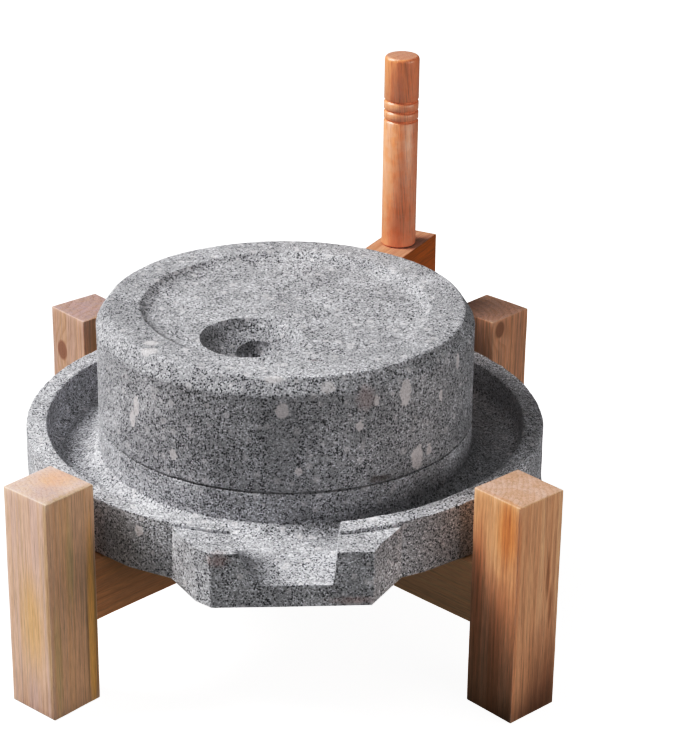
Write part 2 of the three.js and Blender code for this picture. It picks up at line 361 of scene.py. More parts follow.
# One large crystal, stain, tint or patch of painted light or shade: how far a point is inside it, from its
# middle and half sizes in millimetres.
def makePatchGroup():
    group, given, made = newGroup(
        "stonePatch",
        [
            ("Vector", "NodeSocketVector", None),
            ("Middle", "NodeSocketVector", (0, 0, 0)),
            ("Half", "NodeSocketVector", (6, 6, 6)),
            ("Softness", "NodeSocketFloat", 0.1),
            ("Wander", "NodeSocketFloat", 1.2),
            ("Stretch", "NodeSocketVector", (0.35, 0.35, 0.35)),
        ],
        [("Mask", "NodeSocketFloat")],
    )
    finer = addVectorMath(group, "MULTIPLY", given.outputs["Vector"], given.outputs["Stretch"])
    wander = addNoise(group, finer, 1.0, 2.0, 0.6, "Color")
    away = addVectorMath(group, "SUBTRACT", given.outputs["Vector"], given.outputs["Middle"])
    away = addVectorMath(group, "DIVIDE", away, given.outputs["Half"])
    shift = addVectorMath(group, "SUBTRACT", wander, (0.5, 0.5, 0.5))
    shift = addScaled(group, shift, given.outputs["Wander"])
    length = addVectorMath(group, "LENGTH", addVectorMath(group, "ADD", away, shift))
    soft = given.outputs["Softness"]
    low = addMath(group, "ADD", 1.0, soft)
    high = addMath(group, "SUBTRACT", 1.0, soft)
    group.links.new(addStep(group, length, low, high), made.inputs["Mask"])
    return group


# The largest of several patch masks. Edge holds the group's Wander and Stretch where they differ.
def addPatches(tree, place, shift, patches, softness, edge=None):
    mask = None
    for middle, half in patches:
        values = {"Vector": place, "Half": half, "Softness": softness, **(edge or {})}
        values["Middle"] = Vector(middle) + Vector(shift)
        patch = addNode(tree, "ShaderNodeGroup", values, node_tree=patchGroup).outputs["Mask"]
        mask = patch if mask is None else addMath(tree, "MAXIMUM", mask, patch)
    return mask


def makeGraniteMaterial(name, settings):
    material = bpy.data.materials.new(name)
    material.use_nodes = True
    tree = material.node_tree
    shader = tree.nodes["Principled BSDF"]
    place = addNode(tree, "ShaderNodeTexCoord").outputs["Object"]
    mapping = {"Vector": place, "Location": settings["shift"], "Scale": (1 / mm,) * 3}
    place = addNode(tree, "ShaderNodeMapping", mapping).outputs["Vector"]
    values = {
        "Vector": place,
        "Grain Size": settings["grainSize"],
        "Dark Share": settings["darkShare"],
        "Pale Share": settings["paleShare"],
    }
    grain = addNode(tree, "ShaderNodeGroup", values, node_tree=graniteGroup)
    color = grain.outputs["Color"]
    for patches, tint, amount, softness in settings["patches"]:
        mask = addPatches(tree, place, settings["shift"], patches, softness)
        over = addMix(tree, 0.15, (*tint, 1), color)
        color = addMix(tree, addMath(tree, "MULTIPLY", mask, amount), color, over)
    # Patches that multiply the colour by a level: painted shade in the feed bowl and at a chip, painted light
    # in the feed throat, and a darker patch on the runner's top
    for patches, level, softness in settings["levelPatches"]:
        mask = addPatches(tree, place, settings["shift"], patches, softness)
        levelled = addMix(tree, 1.0, color, (level, level, level, 1), "MULTIPLY")
        color = addMix(tree, mask, color, levelled)
    # Faces that look up were brushed along, and a painted light makes them a little lighter
    upward = addUpward(tree, 0.7, 0.97)
    along = addVectorMath(tree, "MULTIPLY", place, (0.04, 0.55, 0.3))
    brushed = addStep(tree, addNoise(tree, along, 1.0, 3.0, 0.6), 0.34, 0.66, 0.93, 1.07)
    top = addMath(tree, "MULTIPLY", brushed, settings["paintedTopLight"])
    shade = addMath(tree, "MULTIPLY_ADD", upward, addMath(tree, "SUBTRACT", top, 1.0), 1.0)
    color = addMix(tree, 1.0, color, addMath(tree, "MULTIPLY", shade, settings["shade"]), "MULTIPLY")
    tree.links.new(color, shader.inputs["Base Color"])
    roughness = addMath(tree, "MULTIPLY_ADD", grain.outputs["Dark"], -0.25, 0.85)
    tree.links.new(roughness, shader.inputs["Roughness"])
    shader.inputs["Specular IOR Level"].default_value = 0.3
    relief = {"Height": grain.outputs["Height"], "Strength": settings["relief"], "Distance": 0.3 * mm}
    tree.links.new(addNode(tree, "ShaderNodeBump", relief).outputs["Normal"], shader.inputs["Normal"])
    return material


graniteGroup = makeGraniteGroup(graniteLook)
patchGroup = makePatchGroup()


# A place on a stone in millimetres, from its direction from the mill's axis, its radius and its height.
def onStone(angle, radius, height):
    a = math.radians(angle)
    return (radius * math.cos(a), radius * math.sin(a) + millAxis.y / mm, height)


paleCrystal = (0.84, 0.8, 0.8)
runnerCrystals = [
    (onStone(-52.5, 130, 203), (5, 4, 9.5)),
    (onStone(-47.2, 130, 153), (6, 5, 9)),
    (onStone(-90.4, 130, 202), (4.5, 5, 5.5)),
    (onStone(-138.5, 130, 184), (2.2, 4, 8)),
    (onStone(-140.5, 130, 174), (2.4, 4, 6)),
    (onStone(-62.5, 130, 203), (2, 3, 4)),
    (onStone(-37.3, 130, 190), (1.8, 2.2, 5)),
    (onStone(-67.8, 130, 187), (2.8, 3, 3.4)),
    (onStone(-85.6, 130, 158.5), (2.4, 3, 3)),
    (onStone(-42.4, 130, 155), (2.6, 2.6, 4.5)),
    (onStone(-123.8, 130, 160), (3, 3, 4)),
    (onStone(-27.5, 130, 207), (2.4, 2.4, 6)),
]
topCrystals = [
    (onStone(-77.2, 127.5, 215.8), (4.6, 5, 3.4)),
    (onStone(-93.1, 124.5, 222), (7.5, 3.2, 3)),
    (onStone(-141.5, 112, 222.7), (5.5, 3.4, 4)),
    (onStone(-136.8, 120.5, 222.7), (6, 4.4, 4)),
]
runnerStains = [(onStone(-62.7, 130, 146.5), (3.2, 3, 2.6)), (onStone(-60, 130, 146), (7, 5, 2.2))]
pinkSpots = [(onStone(-76.5, 88, 214.7), (6, 3, 3)), (onStone(-66, 129, 206), (6, 5, 8))]
# A darker patch over the left part of the runner's top
darkerTopPatch = [((-105, 5, 223), (42, 75, 5))]
# Painted shade: the feed bowl's colour is darkened, most towards its left side
paintedBowlShade = [(onStone(235.9, 55.7, 209), (40, 40, 10))]
# Painted light: the colour inside the feed throat is lifted
paintedThroatLight = [(onStone(243.2, 43.9, 191), (14, 14, 11))]
trayCrystals = [
    (onStone(-121, 180, 128), (4, 3, 4)),
    (onStone(-42, 180, 122), (5, 5, 5)),
    (onStone(-36, 180, 112), (3.4, 3.4, 5)),
    (onStone(-58, 176, 118), (3, 3, 3.6)),
]
trayPinks = [(onStone(-101.3, 206, 132.5), (6, 5, 4)), (onStone(-77, 206, 103), (14, 4, 2.5))]
# Painted shade of a chip on the spout, at the top of the notch's left wall
trayChipShade = [(onStone(-97.4, 204, 136.5), (4, 4, 2.6))]
trayMaterial = makeGraniteMaterial(
    "trayGranite",
    {
        "shift": (0, 0, 0),
        "grainSize": 0.86,
        "darkShare": 0.45,
        "paleShare": 0.16,
        "relief": 0.5,
        "shade": 1.15,
        "paintedTopLight": 1.04,
        "patches": [(trayCrystals, paleCrystal, 0.7, 0.14), (trayPinks, (0.5, 0.33, 0.31), 0.45, 0.7)],
        "levelPatches": [(trayChipShade, 0.45, 0.7)],
    },
)
runnerMaterial = makeGraniteMaterial(
    "runnerGranite",
    {
        "shift": (214, 87, 50),
        "grainSize": 0.86,
        "darkShare": 0.46,
        "paleShare": 0.2,
        "relief": 0.45,
        "shade": 0.975,
        "paintedTopLight": 1.08,
        "patches": [
            (runnerCrystals, paleCrystal, 0.8, 0.12),
            (topCrystals, paleCrystal, 0.6, 0.25),
            (pinkSpots, (0.6, 0.47, 0.46), 0.4, 0.5),
            (runnerStains, (0.09, 0.06, 0.045), 0.7, 0.5),
        ],
        "levelPatches": [(darkerTopPatch, 0.86, 0.6), (paintedBowlShade, 0.75, 0.2), (paintedThroatLight, 1.6, 0.2)],
    },
)
print("granite made")

# Timber

# Straight-grown wood with its grain along Z. Vector is in millimetres from the middle of the piece.
def makeWoodGroup():
    group, given, made = newGroup(
        "timberGrain",
        [
            ("Vector", "NodeSocketVector", None),
            ("Pith", "NodeSocketVector", (60, 40, 0)),
            ("Ring Width", "NodeSocketFloat", 5.0),
            ("Ring Share", "NodeSocketFloat", 0.6),
            ("Early", "NodeSocketColor", (0.6, 0.4, 0.25, 1)),
            ("Late", "NodeSocketColor", (0.4, 0.22, 0.12, 1)),
            ("Band", "NodeSocketColor", (0.6, 0.4, 0.2, 1)),
            ("Stain", "NodeSocketColor", (0.5, 0.35, 0.28, 1)),
            ("Stain Share", "NodeSocketFloat", 0.3),
            ("Line Depth", "NodeSocketFloat", 0.25),
            ("Knot", "NodeSocketVector", (0, 0, 1000)),
            ("Knot Size", "NodeSocketFloat", 8.0),
        ],
        [("Color", "NodeSocketColor"), ("Height", "NodeSocketFloat")],
    )
    place = given.outputs["Vector"]
    slow = addVectorMath(group, "MULTIPLY", place, (0.02, 0.02, 0.004))
    wander = addScaled(group, addNoise(group, slow, 1.0, 2.0, 0.5, "Color"), 14.0)
    toKnot = addVectorMath(group, "SUBTRACT", place, given.outputs["Knot"])
    toKnot = addVectorMath(group, "MULTIPLY", toKnot, (1.0, 1.0, 0.75))
    knotShare = addMath(group, "DIVIDE", addVectorMath(group, "LENGTH", toKnot), given.outputs["Knot Size"])
    inKnot = addStep(group, knotShare, 1.15, 0.8)
    pull = addStep(group, knotShare, 3.2, 0.6, 0.0, 9.0)
    fromPith = addVectorMath(group, "ADD", place, wander)
    fromPith = addVectorMath(group, "SUBTRACT", fromPith, given.outputs["Pith"])
    flat = addVectorMath(group, "MULTIPLY", fromPith, (1.0, 1.0, 0.0))
    distance = addMath(group, "ADD", addVectorMath(group, "LENGTH", flat), pull)
    rings = addMath(group, "FRACT", addMath(group, "DIVIDE", distance, given.outputs["Ring Width"]))
    knotRings = addMath(group, "FRACT", addMath(group, "MULTIPLY", knotShare, 3.5))
    outside = addMath(group, "MULTIPLY", rings, addMath(group, "SUBTRACT", 1.0, inKnot))
    rings = addMath(group, "MULTIPLY_ADD", knotRings, inKnot, outside)
    late = addMath(group, "MULTIPLY", addStep(group, rings, 0.3, 0.86), addStep(group, rings, 1.0, 0.93))
    long = addVectorMath(group, "MULTIPLY", place, (1.0, 1.0, 0.02))
    band = addStep(group, addNoise(group, long, 0.06, 2.0, 0.5), 0.42, 0.6)
    streak = addNoise(group, long, 0.3, 3.0, 0.6)
    stain = addMath(group, "MULTIPLY", addStep(group, streak, 0.48, 0.57), given.outputs["Stain Share"])
    lines = addStep(group, addNoise(group, long, 0.85, 2.0, 0.6), 0.5, 0.66)
    lines = addMath(group, "SUBTRACT", 1.0, addMath(group, "MULTIPLY", lines, given.outputs["Line Depth"]))
    fibre = addNoise(group, addVectorMath(group, "MULTIPLY", place, (1.0, 1.0, 0.045)), 2.2, 3.0, 0.65)
    band = addMath(group, "MULTIPLY", band, 0.6)
    color = addMix(group, band, given.outputs["Early"], given.outputs["Band"])
    ringed = addMath(group, "MULTIPLY", late, given.outputs["Ring Share"])
    color = addMix(group, ringed, color, given.outputs["Late"])
    color = addMix(group, stain, color, given.outputs["Stain"])
    grainShade = addMath(group, "MULTIPLY", lines, addStep(group, fibre, 0.3, 0.7, 0.86, 1.12))
    color = addMix(group, 1.0, color, grainShade, "MULTIPLY")
    knotColor = addMix(group, 1.0, given.outputs["Late"], (0.5, 0.42, 0.38, 1), "MULTIPLY")
    color = addMix(group, addMath(group, "MULTIPLY", inKnot, 0.7), color, knotColor)
    height = addMath(group, "MULTIPLY_ADD", late, 0.4, addMath(group, "MULTIPLY", fibre, lines))
    group.links.new(color, made.inputs["Color"])
    group.links.new(height, made.inputs["Height"])
    return group


# Rubbed corners and a painted edge highlight: lighter where an edge stands out.
def makeWearHighlightGroup():
    group, given, made = newGroup(
        "edgeWearHighlight",
        [("Vector", "NodeSocketVector", None), ("Amount", "NodeSocketFloat", 0.5)],
        [("Mask", "NodeSocketFloat")],
    )
    point = addNode(group, "ShaderNodeNewGeometry").outputs["Pointiness"]
    patchy = addStep(group, addNoise(group, given.outputs["Vector"], 0.12, 3.0, 0.6), 0.35, 0.6, 0.35, 1.0)
    wornLit = addMath(group, "MULTIPLY", addStep(group, point, 0.51, 0.57), patchy)
    group.links.new(addMath(group, "MULTIPLY", wornLit, given.outputs["Amount"]), made.inputs["Mask"])
    return group


woodGroup = makeWoodGroup()
wearHighlightGroup = makeWearHighlightGroup()


def makeWoodMaterial(name, settings):
    material = bpy.data.materials.new(name)
    material.use_nodes = True
    tree = material.node_tree
    shader = tree.nodes["Principled BSDF"]
    place = addNode(tree, "ShaderNodeTexCoord").outputs["Object"]
    centred = addNode(tree, "ShaderNodeMapping", {"Vector": place, "Location": -Vector(settings["middle"])})
    mapping = {"Vector": centred.outputs["Vector"], "Rotation": settings["turn"], "Scale": (1 / mm,) * 3}
    place = addNode(tree, "ShaderNodeMapping", mapping).outputs["Vector"]
    values = {"Vector": place}
    for key, value in settings["grain"].items():
        values[key] = (*value, 1) if key in ("Early", "Late", "Band", "Stain") else value
    grain = addNode(tree, "ShaderNodeGroup", values, node_tree=woodGroup)
    color = grain.outputs["Color"]
    alongGrain = {"Wander": 0.5, "Stretch": (0.3, 0.3, 0.015)}
    for patches, tint, amount, softness in settings.get("patches", []):
        mask = addPatches(tree, place, (0, 0, 0), patches, softness, alongGrain)
        stained = addMix(tree, 1.0, color, (*tint, 1), "MULTIPLY")
        color = addMix(tree, addMath(tree, "MULTIPLY", mask, amount), color, stained)
    # Faces that look up take their own tint: end grain on the legs and the peg, and on the handle a paler top
    # that is partly bleaching and partly a painted sheen
    topTinted = addMix(tree, 1.0, color, (*settings["topTintAndSheen"], 1), "MULTIPLY")
    color = addMix(tree, addUpward(tree, 0.75, 0.95), color, topTinted)
    # Worn edges are lighter, partly from rubbing and partly as a painted edge highlight
    values = {"Vector": place, "Amount": settings["wearHighlight"]}
    wearHighlight = addNode(tree, "ShaderNodeGroup", values, node_tree=wearHighlightGroup)
    color = addMix(tree, wearHighlight.outputs["Mask"], color, (*settings["wornHighlightColor"], 1))
    tree.links.new(color, shader.inputs["Base Color"])
    shader.inputs["Roughness"].default_value = settings["roughness"]
    shader.inputs["Specular IOR Level"].default_value = settings["specular"]
    relief = {"Height": grain.outputs["Height"], "Strength": 0.4, "Distance": 0.25 * mm}
    tree.links.new(addNode(tree, "ShaderNodeBump", relief).outputs["Normal"], shader.inputs["Normal"])
    return material


# Tray stone: tray, bedstone and spout in one

# The notch's left wall at its mouth, behind the mouth and at the channel, as (x, height above its floor)
mouthWall = [(-35, 23), (-33.2, 20.5), (-30.2, 16.3), (-26.6, 11.2), (-23, 6), (-19.6, 1.6), (-16, 0)]
hollowWall = [(-36.6, 23.2), (-35.8, 19.5), (-35, 15.5), (-34, 11.2), (-32.4, 6.6), (-29, 2.4), (-24, 0)]
innerWall = [(-45, 24.4), (-44, 20), (-43, 16), (-41.8, 11.6), (-40, 7), (-37, 2.6), (-32, 0)]
trayShape = {
    "radius": 179.7,
    "bottom": 99.1,
    "rimTop": 139.8,
    "rimRound": 0.8,
    "rimInner": 165.3,
    "rimFillet": 8,
    "floor": 115.3,
    "bedRadius": 130,
    "bedTop": 142.4,
    "footRadius": 20,
    "footTurn": 45,
    "bossRadius": 12,
    "bossTop": 152.4,
    "turn": 2.5,
    "spoutTop": 137.4,
    "spoutRoot": 171,
    "spoutFront": 201,
    "spoutLeft": [(-53.5, 201), (-63, 192), (-75, 171), (-80, 155)],
    "spoutRight": [(49, 201), (55, 188.5), (64, 174.5), (76, 155)],
    "notch": [
        {
            "out": 206,
            "height": 114.4,
            "left": mouthWall,
            "right": [(22.6, 0), (25, 23)],
        },
        {
            "out": 198,
            "height": 114.6,
            "left": hollowWall,
            "right": [(23.5, 0), (26, 23.2)],
        },
        {
            "out": 150,
            "height": 115.4,
            "left": innerWall,
            "right": [(28, 0), (31, 24.4)],
        },
    ],
}
furrowShape = {"count": 12, "inner": 22, "outer": 114, "width": 5, "depth": 1.4, "lean": 14}


def makeFurrowCutter(height, lean):
    furrow = furrowShape
    blocks = []
    for i in range(furrow["count"]):
        low = (furrow["inner"], -furrow["width"] / 2, height - furrow["depth"])
        high = (furrow["outer"], furrow["width"] / 2, height + furrow["depth"])
        block = addBlock("furrow%d" % i, low, high)
        settle(block, turn=math.radians(lean))
        settle(block, move=(0, -furrow["inner"] * mm * math.sin(math.radians(lean)), 0))
        settle(block, turn=2 * math.pi * i / furrow["count"])
        blocks.append(block)
    return joinPieces(blocks)


# The notch is narrow at its mouth, where a low dam is left standing on one side, and opens out behind it.
def makeNotchCutter(shape):
    sections = []
    for end in shape["notch"]:
        sides = []
        for (x, z), (nextX, nextZ) in (end["left"][:2], end["right"][::-1]):
            sides.append((x + (x - nextX) * 5 / (z - nextZ), z + 5))
        outline = [sides[0], *end["left"], *end["right"], sides[1], sides[0]]
        points = [(x * mm, -end["out"] * mm, (end["height"] + z) * mm) for x, z in outline]
        section = drawLine("notchSection", points)
        bpy.ops.mesh.select_all(action="SELECT")
        bpy.ops.mesh.remove_doubles(threshold=0.01 * mm)
        objectMode()
        sections.append(section)
    piece = joinPieces(sections)
    editMode(piece, "EDGE")
    bpy.ops.mesh.select_all(action="SELECT")
    bpy.ops.mesh.bridge_edge_loops()
    bpy.ops.mesh.select_all(action="SELECT")
    bpy.ops.mesh.fill_holes(sides=0)
    turnOutward()
    return piece


# The marks on worked stone: small chips along the edges, then tool wobble, dressing and pits on the faces.
stoneMarks = [
    {"group": "edges", "size": 3.6, "amount": 1.0, "inward": 0.68, "depth": 1},
    {"group": "worked", "size": 55, "amount": 1.0, "inward": 0.75, "depth": 1},
    {"group": "worked", "size": 8, "amount": 0.35, "inward": 0.6, "depth": 2},
    {"group": "worked", "size": 2.4, "amount": 0.2, "inward": 0.5, "depth": 1},
]


# Fine even faces that keep the edges, with the marks raised in them. The hidden faces are thinned out again.
def refineStone(piece, share, hidden):
    applyModifier(piece, "REMESH", mode="SHARP", octree_depth=9, scale=share, use_remove_disconnected=False)
    editMode(piece, "EDGE")
    bpy.ops.mesh.edges_select_sharp(sharpness=math.radians(35))
    bpy.ops.mesh.select_mode(type="VERT")
    edges = piece.vertex_groups.new(name="edges")
    bpy.ops.object.vertex_group_assign()
    objectMode()
    edges.remove([v.index for v in piece.data.vertices if hidden(v.co)])
    markGroup(piece, "worked", lambda co: not hidden(co))
    for mark in stoneMarks:
        roughen(piece, **mark)
    pick(piece)
    selectFaces(piece, lambda centre, normal: hidden(centre))
    bpy.ops.object.mode_set(mode="EDIT")
    bpy.ops.mesh.decimate(ratio=0.06)
    objectMode()
    bpy.ops.object.shade_smooth_by_angle(angle=math.radians(32))
    piece.vertex_groups.clear()


def makeTray(shape):
    r, z = shape["radius"], shape["rimTop"]
    outline = [(0, shape["bottom"]), (r - 0.8, shape["bottom"]), (r, shape["bottom"] + 0.8)]
    outline += arcPoints(r - shape["rimRound"], z - shape["rimRound"], shape["rimRound"], 0, 90, 4)
    outline += [(shape["rimInner"] + 0.8, z), (shape["rimInner"], z - 0.8)]
    fillet = shape["rimFillet"]
    outline += arcPoints(shape["rimInner"] - fillet, shape["floor"] + fillet, fillet, 0, -90, 8)
    foot, turn = shape["footRadius"], math.radians(shape["footTurn"])
    footX = shape["bedRadius"] + foot * math.sin(turn)
    outline += arcPoints(footX, shape["floor"] + foot, foot, -90, -90 - shape["footTurn"], 8)
    outline += [(shape["bedRadius"], shape["bedTop"] - 0.6), (shape["bedRadius"] - 0.6, shape["bedTop"])]
    boss = shape["bossRadius"]
    outline += [(boss, shape["bedTop"]), (boss, shape["bossTop"]), (0, shape["bossTop"])]
    stone = turnOutline("trayStone", outline, 240)
    inner = arcPoints(0, 0, shape["spoutRoot"], -64, -117, 10)
    plan = [(x, -y) for x, y in reversed(shape["spoutLeft"])] + [(x, -y) for x, y in shape["spoutRight"]]
    combine(stone, raisePlan("spout", plan + inner, shape["bottom"], shape["spoutTop"]), "UNION")
    combine(stone, makeNotchCutter(shape), "DIFFERENCE")
    combine(stone, makeFurrowCutter(shape["bedTop"], furrowShape["lean"]), "DIFFERENCE")
    underside, grinding = (shape["bottom"] + 0.5) * mm, (shape["bedTop"] - 1.6) * mm
    bed = (shape["bedRadius"] - 3) * mm
    refineStone(stone, 0.56, lambda co: co.z < underside or (co.z > grinding and co.xy.length < bed))
    settle(stone, move=(0, millAxis.y, 0), turn=math.radians(shape["turn"]))
    stone.data.materials.append(trayMaterial)
    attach(stone, "base")
    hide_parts("tray_stone")
    return stone


trayPiece = makeTray(trayShape)
print("tray made,", len(trayPiece.data.polygons), "faces")

# Runner stone

runnerShape = {
    "radius": 130,
    "bottom": 142.8,
    "top": 222.7,
    "shoulderWidth": 7.3,
    "shoulderDrop": 10.7,
    "dishRadius": 98.4,
    "dishDepth": 4.8,
    "dishWall": 12,
    "dishSteepness": 38,
    "socketRadius": 12.4,
    "socketTop": 152.8,
    "feedOffset": 51.6,
    "feedAngle": 243.3,
    "mouthRadius": 33.6,
    "bowlDepth": 16.5,
    "bowlFullness": 1.7,
    "throatRadius": 10.8,
    "throatShift": (3.4, 6.9),
}
handleShape = {"angle": 61.9, "top": 210, "height": 38, "width": 34, "inner": 92.6, "outer": 205.5}


def makeFeedCutter(shape):
    floor = shape["top"] - shape["dishDepth"]
    fullness = shape["bowlFullness"]
    outline = []
    for x, _ in arcPoints(0, 0, 1, -90, 0, 20):
        depth = shape["bowlDepth"] * (1 - x**fullness) ** (1 / fullness)
        outline.append((shape["mouthRadius"] * x, floor - depth))
    edge, above = shape["mouthRadius"] + 0.6, shape["top"] + 5
    outline += [(edge, floor + 0.6), (edge, above), (0, above)]
    bowl = turnOutline("feedBowl", outline, 96)
    low, lip = shape["bottom"] - 5, floor - shape["bowlDepth"] + 1
    r = shape["throatRadius"]
    flare = [(0, -5), (0.6, -3.2), (1.3, -1.4), (2, 0.2), (2.4, 1.6)]
    outline = [(0, low), (r, low)] + [(r + out, lip + up) for out, up in flare]
    throat = turnOutline("throat", [*outline, (r + 2.4, floor), (0, floor)], 72)
    settle(throat, move=(shape["throatShift"][0] * mm, shape["throatShift"][1] * mm, 0))
    combine(bowl, throat, "UNION")
    direction = math.radians(shape["feedAngle"])
    offset = shape["feedOffset"] * mm
    settle(bowl, move=(offset * math.cos(direction), offset * math.sin(direction), 0))
    return bowl


def makeRunner(shape):
    r, top = shape["radius"], shape["top"]
    shoulder = top - shape["shoulderDrop"]
    inner = r - shape["shoulderWidth"]
    floor = top - shape["dishDepth"]
    dish = shape["dishRadius"]
    outline = [
        (0, shape["socketTop"]),
        (shape["socketRadius"], shape["socketTop"]),
        (shape["socketRadius"], shape["bottom"]),
        (r - 0.8, shape["bottom"]),
        (r, shape["bottom"] + 0.8),
        (r, shoulder - 1),
        (r - 0.4, shoulder + 0.6),
        (inner + 0.7, top - 0.8),
        (inner - 1, top),
        (dish + 0.4, top),
    ]
    # A crisp edge, then a hollow that runs out into the floor
    steepness = math.radians(shape["dishSteepness"])
    curve = shape["dishWall"] / math.sin(steepness)
    outline += arcPoints(dish - shape["dishWall"], floor + curve, curve, shape["dishSteepness"] - 90, -90, 10)
    outline.append((0, floor))
    stone = turnOutline("runnerStone", outline, 240)
    combine(stone, makeFeedCutter(shape), "DIFFERENCE")
    handle = handleShape
    low = (handle["inner"] - 0.3, -handle["width"] / 2 - 0.3, handle["top"] - handle["height"] - 0.3)
    mortise = addBlock("mortise", low, (r + 5, handle["width"] / 2 + 0.3, handle["top"] + 0.3))
    settle(mortise, turn=math.radians(handle["angle"]))
    combine(stone, mortise, "DIFFERENCE")
    combine(stone, makeFurrowCutter(shape["bottom"], -furrowShape["lean"]), "DIFFERENCE")
    grinding, rim = (shape["bottom"] + 1.6) * mm, (r - 3) * mm
    refineStone(stone, 0.39, lambda co: co.z < grinding and co.xy.length < rim)
    settle(stone, move=(0, millAxis.y, 0))
    stone.data.materials.append(runnerMaterial)
    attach(stone, "runner")
    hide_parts("runner_stone")
    return stone


runnerPiece = makeRunner(runnerShape)
print("runner made,", len(runnerPiece.data.polygons), "faces")

# Timber pieces

# A squared timber between two corners in millimetres, cut into short lengths and with eased edges.
def makeTimber(name, low, high, spacing, easing):
    piece = addBlock(name, low, high)
    pick(piece)
    bpy.ops.object.mode_set(mode="EDIT")
    for axis in range(3):
        count = round((high[axis] - low[axis]) / spacing)
        normal = Vector((0, 0, 0))
        normal[axis] = 1
        for i in range(1, count):
            cut = Vector((0, 0, 0))
            cut[axis] = (low[axis] + (high[axis] - low[axis]) * i / count) * mm
            bpy.ops.mesh.select_all(action="SELECT")
            bpy.ops.mesh.bisect(plane_co=cut, plane_no=normal)
    bpy.ops.mesh.select_mode(type="EDGE")
    bpy.ops.mesh.select_all(action="DESELECT")
    bpy.ops.mesh.edges_select_sharp(sharpness=math.radians(60))
    bpy.ops.mesh.bevel(offset=easing * mm, segments=3, affect="EDGES", clamp_overlap=False)
    objectMode()
    return piece


def finishTimber(piece):
    roughen(piece, 45, 0.5, 1.0, 1)
    roughen(piece, 11, 0.16, 1.0, 1)
    pick(piece)
    bpy.ops.object.shade_smooth_by_angle(angle=math.radians(40))


legShape = {
    "side": 41.2,
    "height": 158.3,
    "easing": 1.1,
    "places": {
        "back_right": {"angle": 45, "distance": 215, "turn": 1},
        "back_left": {"angle": 135, "distance": 210.5, "turn": -4},
        "front_left": {"angle": 225, "distance": 211.7, "turn": 3},
        "front_right": {"angle": 315, "distance": 213.2, "turn": -3},
    },
}
boardShape = {
    "thickness": 25.2,
    "bottom": 54,
    "top": 98.8,
    "gap": 1.4,
    "tenonThickness": 12,
    "tenonBottom": 61,
    "tenonTop": 92,
    "tenonLength": 24,
}

